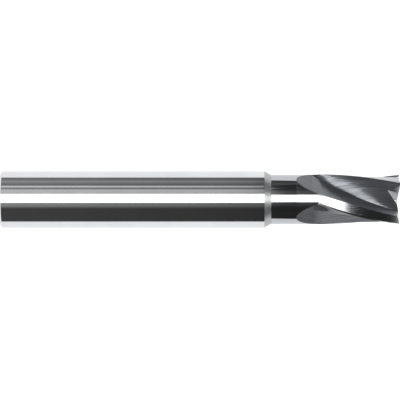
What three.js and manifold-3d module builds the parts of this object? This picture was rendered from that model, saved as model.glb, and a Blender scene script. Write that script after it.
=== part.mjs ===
// End mill with a brazed cutting head. Millimetres, +Z up.
// The tool's axis is +X. The origin is the centre of the shank's rear face and the teeth are at +X.
// It is a right-hand cutter with a right-hand helix and unequally spaced teeth.
import * as THREE from 'three';
import { mergeVertices } from 'three/addons/utils/BufferGeometryUtils.js';
import Module from 'manifold-3d';

const wasm = await Module();
wasm.setup();

// Driving dimensions, all along X from the rear face unless they are radii.
const overallLength = 70;
const shankRadius = 5;
const rearChamfer = 0.5;
const shankEnd = 46.3;
const coneEnd = 47.45;
const neckRadius = 4.35;
const cutterRadius = 4.4;

// Brazed joint between the shank and the head.
const spigotRadius = 2.4;
const spigotLength = 6;
const solderGap = 0.1;

// Teeth: angles in degrees about +X, measured from -Y, at the tip. Twists are degrees for each mm.
// A tooth's land runs from its heel to its cutting edge, and it cuts towards the larger angle.
// Its back is flat. backLean turns it from the middle direction of the flute behind it, and backWidth
// is its width as a share of that flute's first chord, each where the gullet starts and at the tip.
// The cutter repeats after half a turn: a leading and a trailing tooth, then the same two again.
const leading = {
  edge: -40, edgeTwist: 3.5, heel: -74, heelTwist: 1.53, backLean: [5, 5], backWidth: [0.79, 0.19],
};
const trailing = {
  edge: 78, edgeTwist: 4.7, heel: 49.5, heelTwist: 4.37, backLean: [-5, -14], backWidth: [0.92, 0.42],
};
const halfTurn = 180;
const fullTurn = 360;

// Land: a narrow margin behind the edge, then a flat clearance that deepens over reliefRunIn.
// The margin takes no more than the share widestMargin of the land.
const marginWidth = 0.28;
const widestMargin = 0.5;
const marginRelief = 11;
const clearance = 27;
const reliefRunIn = 3;
const landStart = 55.6;
const landRamp = 0.15;

// Flutes: the flat back opens first, and the gullet opens later. The two powers shape how a back's
// lean and width change along the flute, and the handles how tightly the gullet turns at its ends.
const fluteStart = 51.85;
const gulletStart = 54.8;
const gulletFull = 56.6;
const leanPower = 3;
const widthPower = 2;
const backClearOfEdge = 10;
const widestBack = 0.94;
const rakeAngle = 5;
const rakeHandle = 0.22;
const floorTurnAtTip = 77;
const floorTwist = 4.3;
const floorHandle = 0.24;

// End teeth. A gash starts gashStart mm out from the axis: the first tooth's passes the centre.
const dishDrop = 0.4;
const endRelief = 13;
const gashDepthAtAxis = 1.15;
const gashSlope = 0.43;
const gashes = [
  { gashStart: -0.8, gashOpening: 60 },
  { gashStart: 1.1, gashOpening: 35 },
  { gashStart: 0.2, gashOpening: 60 },
  { gashStart: 1.1, gashOpening: 35 },
];
const sectorLead = 3;
const sectorOverlap = 0.5;
const cutterClearance = 2;
const cutterReach = 1.6 * cutterRadius;

// Mesh fineness. stockPastTip is head material that the end cutters take off again.
const shankSegments = 72;
const flatSteps = 2;
const marginSteps = 1;
const backSteps = 2;
const gulletSteps = 7;
const sectorSteps = 4;
const fluteStations = 18;
const runOutStations = 6;
const firstCut = 0.05;
const stockPastTip = 0.5;
const mergeDistance = 1e-5;

const radians = THREE.MathUtils.degToRad;
const clamp01 = (value) => THREE.MathUtils.clamp(value, 0, 1);
const mix = THREE.MathUtils.lerp;

const turnedBy = (tooth, angle) => ({ ...tooth, edge: tooth.edge + angle, heel: tooth.heel + angle });
const pair = [leading, trailing];
const teeth = [...pair, ...pair.map((tooth) => turnedBy(tooth, halfTurn))]
  .map((tooth, i) => ({ ...tooth, ...gashes[i] }));

// Rises smoothly from 0 to 1 between two stations.
function eased(x, from, to) {
  const share = clamp01((x - from) / (to - from));
  return share * share * (3 - 2 * share);
}

// Directions in the plane across the axis, as (y, z). The tangent points towards larger angles.
const outward = (angle) => new THREE.Vector2(-Math.cos(radians(angle)), -Math.sin(radians(angle)));
const tangent = (angle) => new THREE.Vector2(Math.sin(radians(angle)), -Math.cos(radians(angle)));
const polar = (radius, angle) => outward(angle).multiplyScalar(radius);

// ---------- solids ----------

// A closed geometry through rings of (x, y, z) points with equal counts, capped at both ends.
// Each ring runs anticlockwise seen from +X, and the rings go towards +X.
function loft(rings) {
  const count = rings[0].length;
  const positions = rings.flat().flatMap((point) => point.toArray());
  const index = [];
  for (let ring = 0; ring < rings.length - 1; ring += 1) {
    for (let i = 0; i < count; i += 1) {
      const next = (i + 1) % count;
      const low = ring * count;
      const high = low + count;
      index.push(low + i, low + next, high + i);
      index.push(low + next, high + next, high + i);
    }
  }
  const flat = (ring) => ring.map((point) => new THREE.Vector2(point.y, point.z));
  const last = (rings.length - 1) * count;
  for (const [a, b, c] of THREE.ShapeUtils.triangulateShape(flat(rings[0]), [])) {
    index.push(a, c, b);
  }
  for (const [a, b, c] of THREE.ShapeUtils.triangulateShape(flat(rings.at(-1)), [])) {
    index.push(last + a, last + b, last + c);
  }
  const geometry = new THREE.BufferGeometry();
  geometry.setAttribute('position', new THREE.Float32BufferAttribute(positions, 3));
  geometry.setIndex(index);
  return geometry;
}

function toManifold(geometry) {
  const bare = geometry.clone();
  bare.deleteAttribute('normal');
  bare.deleteAttribute('uv');
  const merged = mergeVertices(bare, mergeDistance);
  const mesh = new wasm.Mesh({
    numProp: 3,
    vertProperties: new Float32Array(merged.attributes.position.array),
    triVerts: new Uint32Array(merged.index.array),
  });
  return new wasm.Manifold(mesh);
}

function toGeometry(manifold) {
  const mesh = manifold.getMesh();
  const geometry = new THREE.BufferGeometry();
  geometry.setAttribute('position', new THREE.BufferAttribute(new Float32Array(mesh.vertProperties), 3));
  geometry.setIndex(new THREE.BufferAttribute(new Uint32Array(mesh.triVerts), 1));
  return geometry;
}

// A solid of revolution about +X from [x, radius] pairs that start and end on the axis.
function turned(profile) {
  const points = profile.map(([x, radius]) => new THREE.Vector2(radius, x));
  return new THREE.LatheGeometry(points, shankSegments).rotateZ(-Math.PI / 2);
}

// ---------- one section across the teeth ----------

const edgeAt = (tooth, x) => tooth.edge - tooth.edgeTwist * (overallLength - x);
const heelAt = (tooth, x) => tooth.heel - tooth.heelTwist * (overallLength - x);

// The flute ahead of a tooth, from its cutting edge to the next tooth's heel, at a station x.
// Behind the lands it closes to a point on the neck, as the wheel lifts out.
function fluteBounds(tooth, next, x) {
  const open = Math.sqrt(clamp01((x - fluteStart) / (landStart - fluteStart)));
  const station = Math.max(x, landStart);
  const edge = edgeAt(tooth, station);
  const heel = heelAt(next, station);
  const middle = (edgeAt(tooth, landStart) + heelAt(next, landStart)) / 2;
  return { edge: mix(middle, edge, open), heel: mix(middle, heel, open) };
}

function bezier(start, first, second, end, steps) {
  const curve = new THREE.CubicBezierCurve(start, first, second, end);
  return curve.getPoints(steps);
}

const marginAngle = THREE.MathUtils.radToDeg(Math.atan2(
  marginWidth * Math.cos(radians(marginRelief)),
  cutterRadius - marginWidth * Math.sin(radians(marginRelief)),
));

// The land's radius at an angle between its heel and its edge.
function landRadius(edge, heel, x, angle) {
  const onLand = clamp01((x - landStart) / landRamp);
  const along = clamp01((angle - heel) / (edge - heel));
  const round = mix(neckRadius, cutterRadius, along * onLand);
  const marginNormal = outward(edge - marginRelief);
  const flatNormal = outward(edge - clearance);
  const edgePoint = polar(cutterRadius, edge);
  const marginEnd = edgePoint.clone().addScaledVector(tangent(edge - marginRelief), -marginWidth);
  const direction = outward(angle);
  const onMargin = edgePoint.dot(marginNormal) / direction.dot(marginNormal);
  const onFlat = marginEnd.dot(flatNormal) / direction.dot(flatNormal);
  return mix(round, Math.min(onMargin, onFlat), eased(x, landStart, landStart + reliefRunIn));
}

// How far along a direction from a point the ray from the axis at an angle is met.
function distanceToRay(point, direction, angle) {
  const ray = outward(angle);
  return -point.cross(ray) / direction.cross(ray);
}

// Where a tooth's flat back meets the gullet, and the direction that the back faces.
function creasePoint(tooth, next, x, start, end, edge) {
  const firstEdge = edgeAt(tooth, landStart);
  const firstHeel = heelAt(next, landStart);
  const firstChord = 2 * neckRadius * Math.sin(radians((firstHeel - firstEdge) / 2));
  const opened = clamp01((x - gulletStart) / (gulletFull - gulletStart));
  const behind = clamp01((overallLength - x) / (overallLength - gulletStart));
  const lean = mix(...next.backLean, (1 - behind) ** leanPower);
  const backNormal = (firstEdge + firstHeel) / 2 + lean;
  const intoFlute = tangent(backNormal).negate();
  const toRay = distanceToRay(end, intoFlute, edge + backClearOfEdge * opened);
  const chord = start.distanceTo(end);
  const [widthAtStart, widthAtTip] = next.backWidth;
  const limits = [firstChord * mix(widthAtTip, widthAtStart, behind ** widthPower)];
  if (toRay > 0) {
    limits.push(toRay);
  }
  if (opened < 1) {
    limits.push(widestBack * chord);
  }
  const back = Math.min(...limits);
  const onChord = end.clone().lerp(start, back / chord);
  const onBack = end.clone().addScaledVector(intoFlute, back);
  return { crease: onChord.lerp(onBack, Math.sqrt(opened)), backNormal };
}

// Points from the cutting edge down the rake face, round the gullet to its crease, and up the next
// tooth's flat back, without the heel itself.
function flutePoints(tooth, next, x) {
  const { edge, heel } = fluteBounds(tooth, next, x);
  const onLand = clamp01((x - landStart) / landRamp);
  const start = polar(mix(neckRadius, cutterRadius, onLand), edge);
  const end = polar(landRadius(edgeAt(next, Math.max(x, landStart)), heel, x, heel), heel);
  const { crease, backNormal } = creasePoint(tooth, next, x, start, end, edge);

  const reach = start.distanceTo(crease);
  const inwards = outward(edge).multiplyScalar(-Math.cos(radians(rakeAngle)))
    .addScaledVector(tangent(edge), -Math.sin(radians(rakeAngle)));
  const floorNormal = backNormal + floorTurnAtTip - floorTwist * (overallLength - x);
  const rakeEnd = start.clone().addScaledVector(inwards, rakeHandle * reach);
  const floorEnd = crease.clone().addScaledVector(tangent(floorNormal), -floorHandle * reach);
  const gullet = bezier(start, rakeEnd, floorEnd, crease, gulletSteps);
  const smooth = eased(x, gulletStart, gulletFull);
  const points = gullet.map((point, i) => start.clone().lerp(crease, i / gulletSteps).lerp(point, smooth));
  for (let i = 1; i < backSteps; i += 1) {
    points.push(crease.clone().lerp(end, i / backSteps));
  }
  return points;
}

// Points along a tooth's land, from the heel up to the cutting edge, without the edge itself.
function landPoints(tooth, previous, following, x) {
  const { heel } = fluteBounds(previous, tooth, x);
  const { edge } = fluteBounds(tooth, following, x);
  const marginStart = Math.max(edge - marginAngle, mix(edge, heel, widestMargin));
  const angles = [];
  for (let i = 0; i < flatSteps; i += 1) {
    angles.push(mix(heel, marginStart, i / flatSteps));
  }
  for (let i = 0; i < marginSteps; i += 1) {
    angles.push(mix(marginStart, edge, i / marginSteps));
  }
  return angles.map((angle) => polar(landRadius(edge, heel, x, angle), angle));
}

function toothedRing(x) {
  const section = [];
  teeth.forEach((tooth, i) => {
    const previous = i > 0 ? teeth[i - 1] : turnedBy(teeth.at(-1), -fullTurn);
    const following = i < teeth.length - 1 ? teeth[i + 1] : turnedBy(teeth[0], fullTurn);
    section.push(...landPoints(tooth, previous, following, x));
    section.push(...flutePoints(tooth, following, x));
  });
  return section.map((point) => new THREE.Vector3(x, point.x, point.y));
}

// The same number of points as a toothed ring, spread over a circle at the same angles.
function roundRing(x, radius) {
  return toothedRing(fluteStart + firstCut).map((point) => {
    const angle = Math.atan2(point.z, point.y);
    return new THREE.Vector3(x, radius * Math.cos(angle), radius * Math.sin(angle));
  });
}

// ---------- end teeth ----------

// A point from its place along a tooth's edge direction, its place ahead of that edge, and x.
function toothPoint(tooth, along, ahead, x) {
  const across = outward(tooth.edge).multiplyScalar(along).addScaledVector(tangent(tooth.edge), ahead);
  return new THREE.Vector3(x, across.x, across.y);
}

const clearOfTip = overallLength + cutterClearance;

// Everything above a tooth's end flank, from just ahead of its end edge back to the tooth behind it.
// Neighbouring cutters overlap a little, so that they leave no thin wall between them.
function endFlankCutter(tooth, spacing) {
  const slope = Math.tan(radians(endRelief));
  const backEnd = sectorLead - sectorOverlap - spacing;
  const corners = [[0, 0]];
  for (let i = 0; i <= sectorSteps; i += 1) {
    const angle = radians(mix(sectorLead, backEnd, i / sectorSteps));
    corners.push([cutterReach * Math.cos(angle), cutterReach * Math.sin(angle)]);
  }
  const flankX = (along, ahead) => overallLength - dishDrop * (1 - along / cutterRadius) + slope * ahead;
  const anticlockwise = corners.reverse();
  return loft([
    anticlockwise.map(([along, ahead]) => toothPoint(tooth, along, ahead, flankX(along, ahead))),
    anticlockwise.map(([along, ahead]) => toothPoint(tooth, along, ahead, clearOfTip)),
  ]);
}

// A V-shaped gash in front of a tooth's end edge. Its floor rises towards the axis.
function gashCutter(tooth) {
  const spread = Math.tan(radians(tooth.gashOpening));
  const rings = [tooth.gashStart, cutterReach].map((along) => {
    const floorX = overallLength - gashDepthAtAxis - gashSlope * along;
    return {
      floor: toothPoint(tooth, along, 0, floorX),
      face: toothPoint(tooth, along, 0, clearOfTip),
      back: toothPoint(tooth, along, spread * (clearOfTip - floorX), clearOfTip),
    };
  });
  return wedge(...rings);
}

// A triangular wedge between an inner and an outer end, each with its floor, face and back corner.
function wedge(inner, outer) {
  const corners = [inner.floor, outer.floor, inner.face, outer.face, inner.back, outer.back];
  const geometry = new THREE.BufferGeometry().setFromPoints(corners);
  const ends = [0, 2, 4, 1, 5, 3];
  const faceSide = [0, 3, 2, 0, 1, 3];
  const topSide = [2, 5, 4, 2, 3, 5];
  const backSide = [0, 5, 1, 0, 4, 5];
  geometry.setIndex([...ends, ...faceSide, ...topSide, ...backSide]);
  return geometry;
}

// ---------- sub-parts ----------

function shank() {
  const socketRadius = spigotRadius + solderGap;
  const socketFloor = coneEnd - spigotLength - solderGap;
  return turned([
    [0, 0],
    [0, shankRadius - rearChamfer],
    [rearChamfer, shankRadius],
    [shankEnd, shankRadius],
    [coneEnd, neckRadius],
    [coneEnd, socketRadius],
    [socketFloor, socketRadius],
    [socketFloor, 0],
  ]);
}

function brazeJoint() {
  const socketRadius = spigotRadius + solderGap;
  const socketFloor = coneEnd - spigotLength - solderGap;
  return turned([
    [socketFloor, 0],
    [socketFloor, socketRadius],
    [coneEnd, socketRadius],
    [coneEnd, neckRadius],
    [coneEnd + solderGap, neckRadius],
    [coneEnd + solderGap, spigotRadius],
    [socketFloor + solderGap, spigotRadius],
    [socketFloor + solderGap, 0],
  ]);
}

function headStations() {
  const stations = [];
  for (let i = 0; i < runOutStations; i += 1) {
    stations.push(mix(fluteStart + firstCut, landStart, (i / runOutStations) ** 2));
  }
  stations.push(landStart);
  for (let i = 0; i <= fluteStations; i += 1) {
    stations.push(mix(landStart + landRamp, overallLength + stockPastTip, i / fluteStations));
  }
  return stations;
}

function cuttingHead() {
  const neckStart = coneEnd + solderGap;
  const rings = [
    roundRing(neckStart - spigotLength, spigotRadius),
    roundRing(neckStart, spigotRadius),
    roundRing(neckStart, neckRadius),
    ...headStations().map(toothedRing),
  ];
  let head = toManifold(loft(rings));
  teeth.forEach((tooth, i) => {
    const behind = i > 0 ? teeth[i - 1].edge : teeth.at(-1).edge - fullTurn;
    head = head.subtract(toManifold(endFlankCutter(tooth, tooth.edge - behind)));
    head = head.subtract(toManifold(gashCutter(tooth)));
  });
  return toGeometry(head);
}

// ---------- materials and assembly ----------

const groundSteel = new THREE.MeshStandardMaterial({ color: 0xc4c6c9, roughness: 0.16, metalness: 1 });
const silverSolder = new THREE.MeshStandardMaterial({ color: 0xcfc7a8, roughness: 0.4, metalness: 1 });
const groundCarbide = new THREE.MeshStandardMaterial({ color: 0x8f9498, roughness: 0.3, metalness: 1 });

const endMill = new THREE.Group();

function addPart(name, geometry, material) {
  const mesh = new THREE.Mesh(geometry, material);
  mesh.name = name;
  endMill.add(mesh);
}

addPart('shank', shank(), groundSteel);
addPart('braze_joint', brazeJoint(), silverSolder);
addPart('cutting_head', cuttingHead(), groundCarbide);

export default endMill;
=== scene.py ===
"""End mill with a brazed cutting head, lying on a pale floor in a light tent.

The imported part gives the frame, the sizes and the pieces. This script replaces its three faceted
solids by finely ground ones of the same shape. Lengths are in metres and angles in degrees.
The tool's axis is +X, and angles about it are measured from -Y towards -Z.
"""

import math

import bmesh
import bpy
import numpy as np
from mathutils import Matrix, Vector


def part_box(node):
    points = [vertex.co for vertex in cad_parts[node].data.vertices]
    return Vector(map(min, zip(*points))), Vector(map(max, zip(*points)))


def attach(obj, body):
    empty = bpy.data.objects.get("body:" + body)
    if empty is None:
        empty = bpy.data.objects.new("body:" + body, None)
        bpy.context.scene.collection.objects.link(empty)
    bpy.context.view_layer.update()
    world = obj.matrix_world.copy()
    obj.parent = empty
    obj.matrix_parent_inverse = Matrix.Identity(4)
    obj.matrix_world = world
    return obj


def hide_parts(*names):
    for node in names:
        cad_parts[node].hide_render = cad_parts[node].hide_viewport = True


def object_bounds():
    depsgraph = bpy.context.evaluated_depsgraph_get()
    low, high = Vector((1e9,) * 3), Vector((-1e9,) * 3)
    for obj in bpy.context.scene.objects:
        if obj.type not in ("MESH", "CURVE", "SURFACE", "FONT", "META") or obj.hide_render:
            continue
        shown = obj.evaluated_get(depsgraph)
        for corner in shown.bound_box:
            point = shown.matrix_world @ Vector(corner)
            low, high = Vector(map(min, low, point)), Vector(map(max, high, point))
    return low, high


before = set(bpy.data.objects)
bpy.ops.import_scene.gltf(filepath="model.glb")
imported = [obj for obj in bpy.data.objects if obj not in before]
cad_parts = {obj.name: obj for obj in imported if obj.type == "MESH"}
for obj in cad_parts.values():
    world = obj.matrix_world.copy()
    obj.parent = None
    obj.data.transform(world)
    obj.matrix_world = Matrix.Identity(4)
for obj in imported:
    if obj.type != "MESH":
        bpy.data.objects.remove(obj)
cad_low, cad_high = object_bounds()

MM = 0.001

# ---------------------------------------------------------------- sizes taken from the frame
shank_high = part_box("shank")[1]
braze_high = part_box("braze_joint")[1]
head_low, head_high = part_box("cutting_head")

TIP = head_high.x
SHANK_RADIUS = shank_high.z
CONE_END = shank_high.x
NECK_START = braze_high.x
SOLDER_GAP = NECK_START - CONE_END
NECK_RADIUS = braze_high.z
SPIGOT_END = head_low.x
SPIGOT_RADIUS = 2.4 * MM
CONE_LENGTH = 1.15 * MM
REAR_CHAMFER = 0.5 * MM
CUTTER_RADIUS = 4.4 * MM
SOCKET_RADIUS = SPIGOT_RADIUS + SOLDER_GAP
SOCKET_FLOOR = SPIGOT_END - SOLDER_GAP

# ---------------------------------------------------------------- teeth, as in the CAD part
HALF_TURN = 180
FULL_TURN = 360

# Angles at the tip, and twists in degrees for each metre. A land runs from its heel to its edge.
# The second pair of teeth is the first pair turned by half a turn.
# A tooth's back is flat. Its lean turns it from the middle direction of the flute behind it, and
# its width is a share of that flute's first chord, each given where the gullet starts and at the tip.
LEADING = {
    "edge": -40, "edge_twist": 3500, "heel": -74, "heel_twist": 1530,
    "back_lean": (5, 5), "back_width": (0.79, 0.19),
}
TRAILING = {
    "edge": 78, "edge_twist": 4700, "heel": 49.5, "heel_twist": 4370,
    "back_lean": (-5, -14), "back_width": (0.92, 0.42),
}
GASHES = [
    {"gash_start": -0.8 * MM, "gash_opening": 60},
    {"gash_start": 1.1 * MM, "gash_opening": 35},
    {"gash_start": 0.2 * MM, "gash_opening": 60},
    {"gash_start": 1.1 * MM, "gash_opening": 35},
]


def turned_on(tooth, angle):
    return {**tooth, "edge": tooth["edge"] + angle, "heel": tooth["heel"] + angle}


TEETH = [
    {**LEADING, **GASHES[0]},
    {**TRAILING, **GASHES[1]},
    {**turned_on(LEADING, HALF_TURN), **GASHES[2]},
    {**turned_on(TRAILING, HALF_TURN), **GASHES[3]},
]

# Land: a narrow margin behind the edge, then a flat clearance that deepens over the run-in.
MARGIN_WIDTH = 0.28 * MM
WIDEST_MARGIN = 0.5
MARGIN_RELIEF = 11
CLEARANCE = 27
RELIEF_RUN_IN = 3.0 * MM
LAND_START = TIP - 14.4 * MM
LAND_RAMP = 0.15 * MM

# Flutes: each starts as one flat cut, and its gullet opens later. The two powers shape how a back's
# lean and width change along the flute, and the two handles how far the gullet keeps its first and
# last directions.
FLUTE_START = TIP - 18.15 * MM
GULLET_START = TIP - 15.2 * MM
GULLET_FULL = TIP - 13.4 * MM
LEAN_POWER = 3
WIDTH_POWER = 2
BACK_CLEAR_OF_EDGE = 10
WIDEST_BACK = 0.94
RAKE_ANGLE = 5
RAKE_HANDLE = 0.22
FLOOR_TURN_AT_TIP = 77
FLOOR_TWIST = 4300
FLOOR_HANDLE = 0.24

# End teeth. The cutters reach past the teeth and past the tip.
DISH_DROP = 0.4 * MM
END_RELIEF = 13
GASH_DEPTH_AT_AXIS = 1.15 * MM
GASH_SLOPE = 0.43
SECTOR_LEAD = 3
SECTOR_OVERLAP = 0.5
CLEAR_OF_TIP = TIP + 2 * MM
REACH = 1.6 * CUTTER_RADIUS
STOCK_PAST_TIP = 0.5 * MM

# ---------------------------------------------------------------- mesh fineness
TURNED_SEGMENTS = 256
CORNER_RADIUS = 0.06 * MM
CORNER_STEPS = 5
GUARD_SHARE = 0.5
SOLDER_CORNER_RADIUS = SOLDER_GAP / 4
FLAT_STEPS = 24
MARGIN_STEPS = 3
LAND_STEPS = FLAT_STEPS + MARGIN_STEPS
GULLET_STEPS = 36
BACK_STEPS = 10
STATION_STEP = 0.12 * MM
RUN_OUT_STEPS = 24
SECTOR_POINTS = 9
SHARP_ANGLE = 11
TURNED_SHARP_ANGLE = 30
SAME_PLACE = 0.0005 * MM

# How far past the flutes' start the first toothed ring lies, and the ring that lends its angles.
FIRST_CUT = 0.03 * MM
ROUND_RING_CUT = 0.01 * MM

# Material slots in order: of the head, then of the shank.
NECK, LAND, FLUTE, END = range(4)
POLISHED, SATIN = range(2)


# ---------------------------------------------------------------- small helpers
def clamp01(value):
    return min(max(value, 0.0), 1.0)


def mix(low, high, share):
    return low + (high - low) * share


def outward(angle):
    """The direction away from the axis at an angle, as (y, z)."""
    return np.array([-math.cos(math.radians(angle)), -math.sin(math.radians(angle))])


def tangent(angle):
    """The direction towards larger angles, as (y, z)."""
    return np.array([math.sin(math.radians(angle)), -math.cos(math.radians(angle))])


def new_object(name, mesh):
    piece = bpy.data.objects.new(name, mesh)
    bpy.context.scene.collection.objects.link(piece)
    return piece


# ---------------------------------------------------------------- turned pieces
def rounded(profile, radius):
    """A profile of (x, r) points with its corners off the axis rounded by short arcs.

    A guard ring on each side of an arc keeps the arc's shading off the straight stretch beside it.
    """
    points = [np.array(p, float) for p in profile]
    smooth = [points[0]]
    for before, corner, after in zip(points, points[1:], points[2:]):
        to_before = (before - corner) / np.linalg.norm(before - corner)
        to_after = (after - corner) / np.linalg.norm(after - corner)
        half = math.acos(max(-1.0, min(1.0, float(to_before @ to_after)))) / 2
        cut = radius / math.tan(half)
        start = corner + to_before * cut
        end = corner + to_after * cut
        smooth.append(start + to_before * radius * GUARD_SHARE)
        for i in range(CORNER_STEPS + 1):
            t = i / CORNER_STEPS
            smooth.append((1 - t) ** 2 * start + 2 * t * (1 - t) * corner + t ** 2 * end)
        smooth.append(end + to_after * radius * GUARD_SHARE)
    smooth.append(points[-1])
    return smooth


def turned(name, profile):
    """A closed solid of revolution about +X. The profile starts and ends on the axis."""
    inner = profile[1:-1]
    angles = [2 * math.pi * i / TURNED_SEGMENTS for i in range(TURNED_SEGMENTS)]
    verts = [(x, r * math.cos(a), r * math.sin(a)) for x, r in inner for a in angles]
    first_pole = len(verts)
    last_pole = first_pole + 1
    verts += [(profile[0][0], 0, 0), (profile[-1][0], 0, 0)]
    faces = []
    last = (len(inner) - 1) * TURNED_SEGMENTS
    for i in range(TURNED_SEGMENTS):
        j = (i + 1) % TURNED_SEGMENTS
        faces.append((first_pole, i, j))
        faces.append((last_pole, last + j, last + i))
        for ring in range(len(inner) - 1):
            low = ring * TURNED_SEGMENTS
            high = low + TURNED_SEGMENTS
            faces.append((low + i, high + i, high + j, low + j))
    mesh = bpy.data.meshes.new(name)
    mesh.from_pydata(verts, [], faces)
    mesh.validate()
    face_outward(mesh)
    mesh.shade_smooth()
    mesh.set_sharp_from_angle(angle=math.radians(TURNED_SHARP_ANGLE))
    return new_object(name, mesh)


def signed_volume(mesh):
    """The volume inside a closed mesh. It is negative when the faces point in."""
    mesh.calc_loop_triangles()
    count = len(mesh.loop_triangles)
    index = np.zeros(count * 3, np.int32)
    mesh.loop_triangles.foreach_get("vertices", index)
    place = np.zeros(len(mesh.vertices) * 3, np.float32)
    mesh.vertices.foreach_get("co", place)
    a, b, c = (place.reshape(-1, 3)[index.reshape(-1, 3)[:, k]] for k in range(3))
    return float(np.einsum("ij,ij->i", a, np.cross(b, c)).sum()) / 6


def face_outward(mesh):
    if signed_volume(mesh) < 0:
        mesh.flip_normals()


# ---------------------------------------------------------------- one section across the teeth
def edge_at(tooth, x):
    return tooth["edge"] - tooth["edge_twist"] * (TIP - x)


def heel_at(tooth, x):
    return tooth["heel"] - tooth["heel_twist"] * (TIP - x)


def flute_bounds(tooth, following, x):
    """A flute's cutting edge and the next tooth's heel. Behind the lands it closes to a point."""
    opened = math.sqrt(clamp01((x - FLUTE_START) / (LAND_START - FLUTE_START)))
    station = max(x, LAND_START)
    middle = (edge_at(tooth, LAND_START) + heel_at(following, LAND_START)) / 2
    edge = mix(middle, edge_at(tooth, station), opened)
    heel = mix(middle, heel_at(following, station), opened)
    return edge, heel


def bezier(start, first, second, end, steps):
    t = np.linspace(0, 1, steps + 1)[:, None]
    return ((1 - t) ** 3 * start + 3 * t * (1 - t) ** 2 * first
            + 3 * t ** 2 * (1 - t) * second + t ** 3 * end)


def eased(x, start, end):
    """Rises smoothly from 0 to 1 between two stations."""
    share = clamp01((x - start) / (end - start))
    return share * share * (3 - 2 * share)


def margin_angle():
    relief = math.radians(MARGIN_RELIEF)
    depth = CUTTER_RADIUS - MARGIN_WIDTH * math.sin(relief)
    return math.degrees(math.atan2(MARGIN_WIDTH * math.cos(relief), depth))


def land_radius(edge, heel, x, angle):
    """The land's radius at an angle: a narrow margin behind the edge, then a flat clearance."""
    on_land = clamp01((x - LAND_START) / LAND_RAMP)
    along = clamp01((angle - heel) / (edge - heel))
    plain = mix(NECK_RADIUS, CUTTER_RADIUS, along * on_land)
    margin_normal = outward(edge - MARGIN_RELIEF)
    flat_normal = outward(edge - CLEARANCE)
    edge_point = CUTTER_RADIUS * outward(edge)
    margin_end = edge_point - MARGIN_WIDTH * tangent(edge - MARGIN_RELIEF)
    direction = outward(angle)
    on_margin = (edge_point @ margin_normal) / (direction @ margin_normal)
    on_flat = (margin_end @ flat_normal) / (direction @ flat_normal)
    return mix(plain, min(on_margin, on_flat), eased(x, LAND_START, LAND_START + RELIEF_RUN_IN))


def distance_to_ray(point, direction, angle):
    """How far along a direction from a point the ray from the axis at an angle is met."""
    ray = outward(angle)
    return -(point[0] * ray[1] - point[1] * ray[0]) / (direction[0] * ray[1] - direction[1] * ray[0])


def crease_point(tooth, following, x, start, end, edge):
    """Where a tooth's flat back meets the gullet, and the direction that the back faces."""
    first_edge = edge_at(tooth, LAND_START)
    first_heel = heel_at(following, LAND_START)
    first_chord = 2 * NECK_RADIUS * math.sin(math.radians((first_heel - first_edge) / 2))
    opened = clamp01((x - GULLET_START) / (GULLET_FULL - GULLET_START))
    behind = clamp01((TIP - x) / (TIP - GULLET_START))
    lean = mix(*following["back_lean"], (1 - behind) ** LEAN_POWER)
    back_normal = (first_edge + first_heel) / 2 + lean
    into_flute = -tangent(back_normal)
    to_ray = distance_to_ray(end, into_flute, edge + BACK_CLEAR_OF_EDGE * opened)
    chord = np.linalg.norm(end - start)
    width_at_start, width_at_tip = following["back_width"]
    limits = [first_chord * mix(width_at_tip, width_at_start, behind ** WIDTH_POWER)]
    if to_ray > 0:
        limits.append(to_ray)
    if opened < 1:
        limits.append(WIDEST_BACK * chord)
    back = min(limits)
    on_chord = mix(end, start, back / chord)
    return mix(on_chord, end + back * into_flute, math.sqrt(opened)), back_normal


def flute_points(tooth, following, x):
    """Points down the rake face, round the gullet to its crease, and up the next tooth's flat back."""
    edge, heel = flute_bounds(tooth, following, x)
    on_land = clamp01((x - LAND_START) / LAND_RAMP)
    start = mix(NECK_RADIUS, CUTTER_RADIUS, on_land) * outward(edge)
    next_edge = edge_at(following, max(x, LAND_START))
    end = land_radius(next_edge, heel, x, heel) * outward(heel)
    crease, back_normal = crease_point(tooth, following, x, start, end, edge)

    reach = np.linalg.norm(crease - start)
    rake = math.radians(RAKE_ANGLE)
    inwards = -math.cos(rake) * outward(edge) - math.sin(rake) * tangent(edge)
    floor_normal = back_normal + FLOOR_TURN_AT_TIP - FLOOR_TWIST * (TIP - x)
    rake_end = start + RAKE_HANDLE * reach * inwards
    floor_end = crease - FLOOR_HANDLE * reach * tangent(floor_normal)
    gullet = bezier(start, rake_end, floor_end, crease, GULLET_STEPS)
    flat_cut = np.linspace(start, crease, GULLET_STEPS + 1)
    back = np.linspace(crease, end, BACK_STEPS + 1)[1:-1]
    return np.vstack([mix(flat_cut, gullet, eased(x, GULLET_START, GULLET_FULL)), back])


def land_points(previous, tooth, following, x):
    """Points along a tooth's land, from its heel up to its cutting edge, without the edge."""
    heel = flute_bounds(previous, tooth, x)[1]
    edge = flute_bounds(tooth, following, x)[0]
    margin_start = max(edge - margin_angle(), mix(edge, heel, WIDEST_MARGIN))
    flat = np.linspace(heel, margin_start, FLAT_STEPS + 1)[:-1]
    margin = np.linspace(margin_start, edge, MARGIN_STEPS + 1)[:-1]
    angles = np.concatenate([flat, margin])
    return np.array([land_radius(edge, heel, x, angle) * outward(angle) for angle in angles])


def toothed_ring(x):
    parts = []
    for i, tooth in enumerate(TEETH):
        previous = TEETH[i - 1] if i > 0 else turned_on(TEETH[-1], -FULL_TURN)
        following = TEETH[i + 1] if i + 1 < len(TEETH) else turned_on(TEETH[0], FULL_TURN)
        parts.append(land_points(previous, tooth, following, x))
        parts.append(flute_points(tooth, following, x))
    section = np.vstack(parts)
    return np.column_stack([np.full(len(section), x), section])


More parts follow.
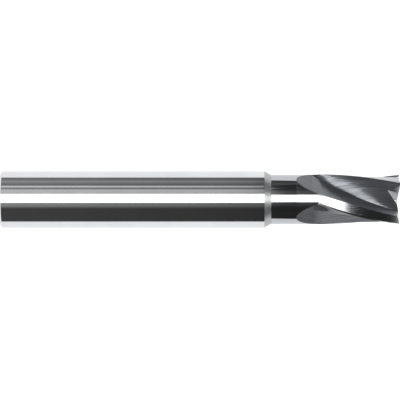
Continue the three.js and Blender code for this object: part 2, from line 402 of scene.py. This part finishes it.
def round_ring(x, radius):
    """A circle with as many points as a toothed ring, at the same angles."""
    ring = toothed_ring(FLUTE_START + ROUND_RING_CUT)
    across = ring[:, 1:]
    across = across / np.linalg.norm(across, axis=1)[:, None] * radius
    return np.column_stack([np.full(len(ring), x), across])


# ---------------------------------------------------------------- lofted solids
def loft(name, rings, zone, materials):
    """A closed solid through rings of equal counts. zone(ring, point) gives a face's material.

    Its "ground" map is the distance round the section and the station, for the wheel lines.
    """
    count = len(rings[0])
    verts = np.vstack(rings)
    faces = []
    zones = []
    texture = []
    for ring in range(len(rings) - 1):
        closed = np.vstack([rings[ring], rings[ring][:1]])
        steps = np.linalg.norm(np.diff(closed[:, 1:], axis=0), axis=1)
        round_section = np.concatenate([[0], np.cumsum(steps)])
        x_low = rings[ring][0][0]
        x_high = rings[ring + 1][0][0]
        for i in range(count):
            j = (i + 1) % count
            low = ring * count
            high = low + count
            before = round_section[i]
            after = round_section[i + 1]
            faces.append((low + i, low + j, high + j, high + i))
            zones.append(zone(ring, i))
            texture += [(before, x_low), (after, x_low), (after, x_high), (before, x_high)]
    last = (len(rings) - 1) * count
    faces.append(tuple(reversed(range(count))))
    faces.append(tuple(range(last, last + count)))
    zones += [zone(0, 0), zone(len(rings) - 2, 0)]
    texture += [(0, 0)] * (2 * count)
    mesh = bpy.data.meshes.new(name)
    mesh.from_pydata(verts.tolist(), [], faces)
    for material in materials:
        mesh.materials.append(material)
    mesh.polygons.foreach_set("material_index", zones)
    mesh.uv_layers.new(name="ground").data.foreach_set("uv", np.array(texture, np.float32).ravel())
    return new_object(name, mesh)


def tooth_point(tooth, along, ahead, x):
    """A point from its place along a tooth's edge direction, its place ahead of that edge, and x."""
    across = along * outward(tooth["edge"]) + ahead * tangent(tooth["edge"])
    return np.array([x, across[0], across[1]])


def end_flank_cutter(tooth, spacing, materials):
    """Everything above a tooth's end flank, from just ahead of its edge back to the next tooth."""
    slope = math.tan(math.radians(END_RELIEF))
    corners = [(0.0, 0.0)]
    for angle in np.linspace(SECTOR_LEAD - SECTOR_OVERLAP - spacing, SECTOR_LEAD, SECTOR_POINTS):
        turn = math.radians(angle)
        corners.append((REACH * math.cos(turn), REACH * math.sin(turn)))
    low = []
    high = []
    for along, ahead in corners:
        flank = TIP - DISH_DROP * (1 - along / CUTTER_RADIUS) + slope * ahead
        low.append(tooth_point(tooth, along, ahead, flank))
        high.append(tooth_point(tooth, along, ahead, CLEAR_OF_TIP))
    rings = [np.array(low), np.array(high)]
    return loft("end_flank_cutter", rings, lambda ring, point: END, materials)


def gash_cutter(tooth, materials):
    """A V-shaped gash in front of a tooth's end edge. Its floor rises towards the axis."""
    spread = math.tan(math.radians(tooth["gash_opening"]))
    rings = []
    for along in (tooth["gash_start"], REACH):
        floor = TIP - GASH_DEPTH_AT_AXIS - GASH_SLOPE * along
        rings.append(np.array([
            tooth_point(tooth, along, 0, floor),
            tooth_point(tooth, along, 0, CLEAR_OF_TIP),
            tooth_point(tooth, along, spread * (CLEAR_OF_TIP - floor), CLEAR_OF_TIP),
        ]))
    return loft("gash_cutter", rings, lambda ring, point: END, materials)


def drop_folds(work):
    """Deletes faces that lie back to back on the same points."""
    by_points = {}
    for face in work.faces:
        by_points.setdefault(frozenset(face.verts), []).append(face)
    folded = [face for faces in by_points.values() if len(faces) > 1 for face in faces]
    bmesh.ops.delete(work, geom=folded, context="FACES")


def drop_slivers(mesh):
    """Joins points in the same place and drops the faces with no area that the cuts leave."""
    work = bmesh.new()
    work.from_mesh(mesh)
    bmesh.ops.triangulate(work, faces=list(work.faces))
    bmesh.ops.remove_doubles(work, verts=work.verts, dist=SAME_PLACE)
    bmesh.ops.dissolve_degenerate(work, edges=work.edges, dist=SAME_PLACE)
    drop_folds(work)
    work.to_mesh(mesh)
    work.free()


def cut_away(piece, cutters):
    """Subtracts each cutter from a piece and leaves the result as a plain mesh."""
    for cutter in cutters:
        face_outward(cutter.data)
        boolean = piece.modifiers.new("cut", "BOOLEAN")
        boolean.operation = "DIFFERENCE"
        boolean.solver = "MANIFOLD"
        boolean.material_mode = "INDEX"
        boolean.object = cutter
    bpy.context.view_layer.update()
    graph = bpy.context.evaluated_depsgraph_get()
    result = bpy.data.meshes.new_from_object(piece.evaluated_get(graph))
    drop_slivers(result)
    piece.modifiers.clear()
    piece.data = result
    for cutter in cutters:
        bpy.data.objects.remove(cutter)


# ---------------------------------------------------------------- materials
# Nearly all of a noise texture's values lie between these two.
NOISE_LOW = 0.3
NOISE_HIGH = 0.7


class Nodes:
    """A short way to add and join the nodes of one material."""

    def __init__(self, name):
        self.material = bpy.data.materials.new(name)
        self.material.use_nodes = True
        self.tree = self.material.node_tree
        self.tree.nodes.clear()

    def add(self, kind, **settings):
        node = self.tree.nodes.new("ShaderNode" + kind)
        for key, value in settings.items():
            setattr(node, key, value)
        return node

    def join(self, source, target):
        self.tree.links.new(source, target)

    def stretched(self, source, scale):
        """A place with each axis scaled, to draw noise out into lines."""
        mapping = self.add("Mapping")
        mapping.inputs["Scale"].default_value = scale
        self.join(source, mapping.inputs["Vector"])
        return mapping.outputs["Vector"]

    def noise(self, place, scale, detail=2.0, roughness=0.5):
        noise = self.add("TexNoise")
        noise.inputs["Scale"].default_value = scale
        noise.inputs["Detail"].default_value = detail
        noise.inputs["Roughness"].default_value = roughness
        self.join(place, noise.inputs["Vector"])
        return noise.outputs["Fac"]

    def spread(self, source, low, high):
        """Noise around 0.5 turned into a value from low to high."""
        ranged = self.add("MapRange", clamp=True)
        ranged.inputs["From Min"].default_value = NOISE_LOW
        ranged.inputs["From Max"].default_value = NOISE_HIGH
        ranged.inputs["To Min"].default_value = low
        ranged.inputs["To Max"].default_value = high
        self.join(source, ranged.inputs["Value"])
        return ranged.outputs["Result"]

    def colours(self, source, dark, light):
        """Noise around 0.5 turned into a colour from dark to light."""
        ramp = self.add("ValToRGB")
        ramp.color_ramp.elements[0].position = NOISE_LOW
        ramp.color_ramp.elements[0].color = (*dark, 1)
        ramp.color_ramp.elements[1].position = NOISE_HIGH
        ramp.color_ramp.elements[1].color = (*light, 1)
        self.join(source, ramp.inputs["Fac"])
        return ramp.outputs["Color"]

    def bump(self, height, strength, distance, below=None):
        bump = self.add("Bump")
        bump.inputs["Strength"].default_value = strength
        bump.inputs["Distance"].default_value = distance
        self.join(height, bump.inputs["Height"])
        if below is not None:
            self.join(below, bump.inputs["Normal"])
        return bump.outputs["Normal"]

    def metal(self, colour, roughness, normal, metallic=1.0):
        shader = self.add("BsdfPrincipled")
        shader.inputs["Metallic"].default_value = metallic
        self.join(colour, shader.inputs["Base Color"])
        self.join(roughness, shader.inputs["Roughness"])
        self.join(normal, shader.inputs["Normal"])
        output = self.add("OutputMaterial")
        self.join(shader.outputs["BSDF"], output.inputs["Surface"])
        return self.material


def polished(name, dark, light, smooth, rough):
    """A centreless-ground and polished round surface: fine lines round it and faint clouding."""
    nodes = Nodes(name)
    place = nodes.add("TexCoord").outputs["Object"]
    rings = nodes.noise(nodes.stretched(place, (26000, 260, 260)), scale=1.0, detail=3)
    clouds = nodes.noise(place, scale=180, detail=4, roughness=0.6)
    scratches = nodes.noise(nodes.stretched(place, (300, 9000, 9000)), scale=1.0, detail=2)
    normal = nodes.bump(rings, strength=0.05, distance=0.004 * MM)
    normal = nodes.bump(scratches, strength=0.02, distance=0.002 * MM, below=normal)
    return nodes.metal(nodes.colours(clouds, dark, light), nodes.spread(clouds, smooth, rough), normal)


def turned_satin():
    """The cone: turned and not polished, with fine rings round it."""
    nodes = Nodes("turned_steel")
    place = nodes.add("TexCoord").outputs["Object"]
    rings = nodes.noise(nodes.stretched(place, (14000, 200, 200)), scale=1.0, detail=3)
    clouds = nodes.noise(place, scale=500, detail=3)
    normal = nodes.bump(rings, strength=0.3, distance=0.01 * MM)
    colour = nodes.colours(clouds, (0.4, 0.405, 0.415), (0.48, 0.485, 0.495))
    return nodes.metal(colour, nodes.spread(clouds, 0.3, 0.4), normal, metallic=0.9)


def flute_ground_and_painted_shade():
    """The flutes: wheel lines along the helix, uneven, and darker than the ground outside; the darker
    colour is painted shade inside the flutes.
    """
    nodes = Nodes("carbide_flute")
    unrolled = nodes.add("UVMap", uv_map="ground").outputs["UV"]
    fine = nodes.noise(nodes.stretched(unrolled, (16000, 260, 1)), scale=1.0, detail=3, roughness=0.6)
    broad = nodes.noise(nodes.stretched(unrolled, (3600, 90, 1)), scale=1.0, detail=3)
    normal = nodes.bump(fine, strength=0.4, distance=0.012 * MM)
    normal = nodes.bump(broad, strength=0.5, distance=0.05 * MM, below=normal)
    # painted shade: this colour, far darker than the lands' carbide, stands in for the shade inside
    # the flutes
    colour = nodes.colours(broad, (0.105, 0.113, 0.123), (0.19, 0.2, 0.212))
    return nodes.metal(colour, nodes.spread(fine, 0.12, 0.22), normal, metallic=0.74)


def end_ground_and_painted_light():
    """The end teeth: flat ground facets with short straight wheel lines, in a lighter colour that is
    painted light on the facets.
    """
    nodes = Nodes("carbide_end")
    place = nodes.add("TexCoord").outputs["Object"]
    fine = nodes.noise(nodes.stretched(place, (700, 6000, 700)), scale=1.0, detail=2)
    normal = nodes.bump(fine, strength=0.15, distance=0.004 * MM)
    # painted light: a colour lighter than the lands' and neck's carbide stands in for light falling on
    # the end facets
    colour = nodes.colours(fine, (0.6, 0.61, 0.63), (0.7, 0.71, 0.73))
    return nodes.metal(colour, nodes.spread(fine, 0.2, 0.3), normal)


def land_ground():
    """The lands: fine wheel lines along the edge, even and brighter than the flutes."""
    nodes = Nodes("carbide_land")
    unrolled = nodes.add("UVMap", uv_map="ground").outputs["UV"]
    fine = nodes.noise(nodes.stretched(unrolled, (12000, 500, 1)), scale=1.0, detail=3)
    normal = nodes.bump(fine, strength=0.12, distance=0.006 * MM)
    colour = nodes.colours(fine, (0.44, 0.45, 0.46), (0.52, 0.53, 0.54))
    return nodes.metal(colour, nodes.spread(fine, 0.2, 0.28), normal)


def solder():
    """The silver solder where it shows round the neck: smooth, with a faint flow pattern."""
    nodes = Nodes("silver_solder")
    place = nodes.add("TexCoord").outputs["Object"]
    flow = nodes.noise(place, scale=900, detail=4)
    normal = nodes.bump(flow, strength=0.4, distance=0.02 * MM)
    colour = nodes.colours(flow, (0.5, 0.48, 0.42), (0.6, 0.58, 0.52))
    return nodes.metal(colour, nodes.spread(flow, 0.12, 0.2), normal)


# ---------------------------------------------------------------- pieces
def finish_piece(piece, node):
    """Rides a piece on the one body, in place of a CAD node, which it hides."""
    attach(piece, "root")
    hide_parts(node)


def make_shank():
    profile = [
        (0, 0),
        (0, SHANK_RADIUS - REAR_CHAMFER),
        (REAR_CHAMFER, SHANK_RADIUS),
        (CONE_END - CONE_LENGTH, SHANK_RADIUS),
        (CONE_END, NECK_RADIUS),
        (CONE_END, SOCKET_RADIUS),
        (SOCKET_FLOOR, SOCKET_RADIUS),
        (SOCKET_FLOOR, 0),
    ]
    piece = turned("shank_body", rounded(profile, CORNER_RADIUS))
    steel = polished("ground_steel", (0.7, 0.705, 0.72), (0.76, 0.765, 0.78), 0.07, 0.11)
    piece.data.materials.append(steel)
    piece.data.materials.append(turned_satin())
    for face in piece.data.polygons:
        from_axis = math.hypot(face.center.y, face.center.z)
        on_cone = CONE_END - CONE_LENGTH < face.center.x < CONE_END and from_axis > NECK_RADIUS
        face.material_index = SATIN if on_cone else POLISHED
    finish_piece(piece, "shank")


def make_braze():
    profile = [
        (SOCKET_FLOOR, 0),
        (SOCKET_FLOOR, SOCKET_RADIUS),
        (CONE_END, SOCKET_RADIUS),
        (CONE_END, NECK_RADIUS),
        (NECK_START, NECK_RADIUS),
        (NECK_START, SPIGOT_RADIUS),
        (SPIGOT_END, SPIGOT_RADIUS),
        (SPIGOT_END, 0),
    ]
    piece = turned("braze_layer", rounded(profile, SOLDER_CORNER_RADIUS))
    piece.data.materials.append(solder())
    finish_piece(piece, "braze_joint")


def head_stations():
    """Stations along the head, closest together where the flutes begin."""
    first = FLUTE_START + FIRST_CUT
    run_out = [first + (LAND_START - first) * (i / RUN_OUT_STEPS) ** 2 for i in range(RUN_OUT_STEPS)]
    start = LAND_START + LAND_RAMP
    end = TIP + STOCK_PAST_TIP
    steps = round((end - start) / STATION_STEP)
    return run_out + [LAND_START] + [mix(start, end, i / steps) for i in range(steps + 1)]


def make_head():
    stations = head_stations()
    plain = [
        round_ring(SPIGOT_END, SPIGOT_RADIUS),
        round_ring(NECK_START, SPIGOT_RADIUS),
        round_ring(NECK_START, NECK_RADIUS),
    ]
    rings = plain + [toothed_ring(x) for x in stations]
    per_tooth = LAND_STEPS + GULLET_STEPS + BACK_STEPS
    flute_rings = len(plain)
    land_rings = flute_rings + stations.index(LAND_START)

    def zone(ring, point):
        if ring < flute_rings:
            return NECK
        if point % per_tooth >= LAND_STEPS:
            return FLUTE
        return LAND if ring >= land_rings else NECK

    neck = polished("carbide_neck", (0.47, 0.48, 0.5), (0.53, 0.54, 0.56), 0.07, 0.11)
    materials = [neck, land_ground(), flute_ground_and_painted_shade(), end_ground_and_painted_light()]
    piece = loft("cutting_head_body", rings, zone, materials)
    face_outward(piece.data)
    cutters = []
    for i, tooth in enumerate(TEETH):
        behind = TEETH[i - 1]["edge"] - (FULL_TURN if i == 0 else 0)
        cutters.append(end_flank_cutter(tooth, tooth["edge"] - behind, materials))
        cutters.append(gash_cutter(tooth, materials))
    cut_away(piece, cutters)
    piece.data.shade_smooth()
    piece.data.set_sharp_from_angle(angle=math.radians(SHARP_ANGLE))
    finish_piece(piece, "cutting_head")


# ---------------------------------------------------------------- stage, light and camera
TENT_RADIUS = 0.7
TENT_HALF_LENGTH = 4.0
TENT_SEGMENTS = 96
SURROUNDINGS = 1.15

# What hangs round the tool, by angle from the camera's side towards the floor. Each card covers an
# arc of the tent and has soft edges. Its glow is given near the rear, near the cone and past the cone.
CARDS = {
    "black_flag_below": {"arc": (14, 101), "soft": 6, "glow": (0.065, 0.04, 0.03)},
    "black_flag_above": {"arc": (-100, -18), "soft": 6, "glow": (0.2, 0.14, 0.04)},
    "grey_card_above": {"arc": (-84, -70), "soft": 8, "glow": (0.32, 0.24, 0.03)},
    "narrow_light": {"arc": (-56, -50), "soft": 5, "glow": (0.85, 0.65, 0.04)},
    "grey_reflector": {"arc": (-42, -24), "soft": 8, "glow": (0.6, 0.52, 0.09)},
    "spill_below": {"arc": (8, 30), "soft": 18, "glow": (0.3, 0.14, 0.07)},
    "front_strip_light": {"arc": (-21, 11), "soft": 7, "glow": (3.4, 3.4, 3.4)},
}
TENT_GLOW = 1.05
FLOOR_GLOW = 0.75
NEAR_REAR = -0.05
NEAR_CONE = 0.06
PAST_CONE = 0.067
FLOOR_HALF_WIDTH = 3.0
FLOOR_GAP = 0.02 * MM
FLOOR_COLOUR = (0.85, 0.85, 0.85, 1)
WHITE = (1, 1, 1, 1)


def make_tent():
    """The light tent round the axis. Only reflections see it."""
    verts = []
    faces = []
    middle = (cad_low.x + cad_high.x) / 2
    for i in range(TENT_SEGMENTS):
        angle = 2 * math.pi * i / TENT_SEGMENTS
        y = TENT_RADIUS * math.cos(angle)
        z = TENT_RADIUS * math.sin(angle)
        verts += [(middle - TENT_HALF_LENGTH, y, z), (middle + TENT_HALF_LENGTH, y, z)]
        j = (i + 1) % TENT_SEGMENTS
        faces.append((2 * i, 2 * i + 1, 2 * j + 1, 2 * j))
    mesh = bpy.data.meshes.new("light_tent")
    mesh.from_pydata(verts, [], faces)
    mesh.shade_smooth()
    tent = new_object("light_tent", mesh)
    tent.data.materials.append(tent_material())
    tent.visible_camera = False
    tent.visible_diffuse = False
    tent.visible_shadow = False
    tent.visible_transmission = False


def linked_math(nodes, operation, *values):
    """A Math node whose inputs are sockets or plain numbers."""
    node = nodes.add("Math", operation=operation)
    for socket, value in zip(node.inputs, values):
        if isinstance(value, (int, float)):
            socket.default_value = value
        else:
            nodes.join(value, socket)
    return node.outputs[0]


def soft_step(nodes, value, middle, width):
    """Rises from 0 to 1 round a middle angle."""
    step = nodes.add("MapRange", interpolation_type="SMOOTHSTEP")
    step.inputs["From Min"].default_value = middle - width / 2
    step.inputs["From Max"].default_value = middle + width / 2
    nodes.join(value, step.inputs["Value"])
    return step.outputs["Result"]


def along_tent(nodes, x, glow):
    """A card's glow along the tool: from the rear to the cone, and on past the cone."""
    level = glow[0]
    stretches = [(NEAR_REAR, NEAR_CONE, glow[1] - glow[0]), (NEAR_CONE, PAST_CONE, glow[2] - glow[1])]
    for start, end, change in stretches:
        ranged = nodes.add("MapRange", clamp=True)
        ranged.inputs["From Min"].default_value = start
        ranged.inputs["From Max"].default_value = end
        ranged.inputs["To Max"].default_value = change
        nodes.join(x, ranged.inputs["Value"])
        level = linked_math(nodes, "ADD", ranged.outputs["Result"], level)
    return level


def tent_material():
    """The tent's glow by angle round the tool, with each card laid over the ones before it."""
    nodes = Nodes("light_tent")
    axes = nodes.add("SeparateXYZ")
    nodes.join(nodes.add("TexCoord").outputs["Object"], axes.inputs["Vector"])
    down = linked_math(nodes, "MULTIPLY", axes.outputs["Z"], -1)
    forward = linked_math(nodes, "MULTIPLY", axes.outputs["Y"], -1)
    turn = linked_math(nodes, "ARCTAN2", down, forward)
    angle = linked_math(nodes, "DEGREES", turn)
    level = TENT_GLOW
    for card in CARDS.values():
        start, end = card["arc"]
        soft = card["soft"]
        risen = soft_step(nodes, angle, start, soft)
        fallen = soft_step(nodes, angle, end, soft)
        inside = linked_math(nodes, "SUBTRACT", risen, fallen)
        glow = along_tent(nodes, axes.outputs["X"], card["glow"])
        shown = linked_math(nodes, "MULTIPLY", glow, inside)
        outside = linked_math(nodes, "SUBTRACT", 1.0, inside)
        level = linked_math(nodes, "ADD", shown, linked_math(nodes, "MULTIPLY", outside, level))
    lamp = nodes.add("Emission")
    nodes.join(level, lamp.inputs["Strength"])
    output = nodes.add("OutputMaterial")
    nodes.join(lamp.outputs["Emission"], output.inputs["Surface"])
    return nodes.material


def make_floor():
    """A pale sheet lit from below, which keeps the shade under the tool faint."""
    half = FLOOR_HALF_WIDTH
    level = cad_low.z - FLOOR_GAP
    mesh = bpy.data.meshes.new("floor")
    corners = [(-half, -half, level), (half, -half, level), (half, half, level), (-half, half, level)]
    mesh.from_pydata(corners, [], [(0, 1, 2, 3)])
    floor = new_object("floor", mesh)
    nodes = Nodes("floor")
    shader = nodes.add("BsdfPrincipled")
    shader.inputs["Base Color"].default_value = FLOOR_COLOUR
    shader.inputs["Roughness"].default_value = 1.0
    shader.inputs["Emission Color"].default_value = WHITE
    shader.inputs["Emission Strength"].default_value = FLOOR_GLOW
    output = nodes.add("OutputMaterial")
    nodes.join(shader.outputs["BSDF"], output.inputs["Surface"])
    mesh.materials.append(nodes.material)
    floor.visible_glossy = False


def make_world():
    world = bpy.data.worlds.new("surroundings")
    world.use_nodes = True
    background = world.node_tree.nodes["Background"]
    background.inputs["Color"].default_value = WHITE
    background.inputs["Strength"].default_value = SURROUNDINGS
    bpy.context.scene.world = world
    bpy.context.scene.view_settings.view_transform = "Standard"


# The tool fills the frame's width. The camera looks straight at its side, a little below its axis.
CAMERA_DISTANCE = 0.5
FRAME_PER_LENGTH = 1.00075
FRAME_WIDTH = (cad_high.x - cad_low.x) * FRAME_PER_LENGTH
FRAME_START = cad_low.x + 0.05 * MM
CAMERA_HEIGHT = -0.09 * MM
SENSOR_WIDTH = 36.0


def make_camera():
    data = bpy.data.cameras.new("camera")
    data.sensor_width = SENSOR_WIDTH
    data.lens = SENSOR_WIDTH * CAMERA_DISTANCE / FRAME_WIDTH
    camera = bpy.data.objects.new("camera", data)
    bpy.context.scene.collection.objects.link(camera)
    camera.location = (FRAME_START + FRAME_WIDTH / 2, -CAMERA_DISTANCE, CAMERA_HEIGHT)
    camera.rotation_euler = (math.radians(90), 0, 0)
    bpy.context.scene.camera = camera


make_camera()
make_shank()
make_braze()
make_head()
make_tent()
make_floor()
make_world()
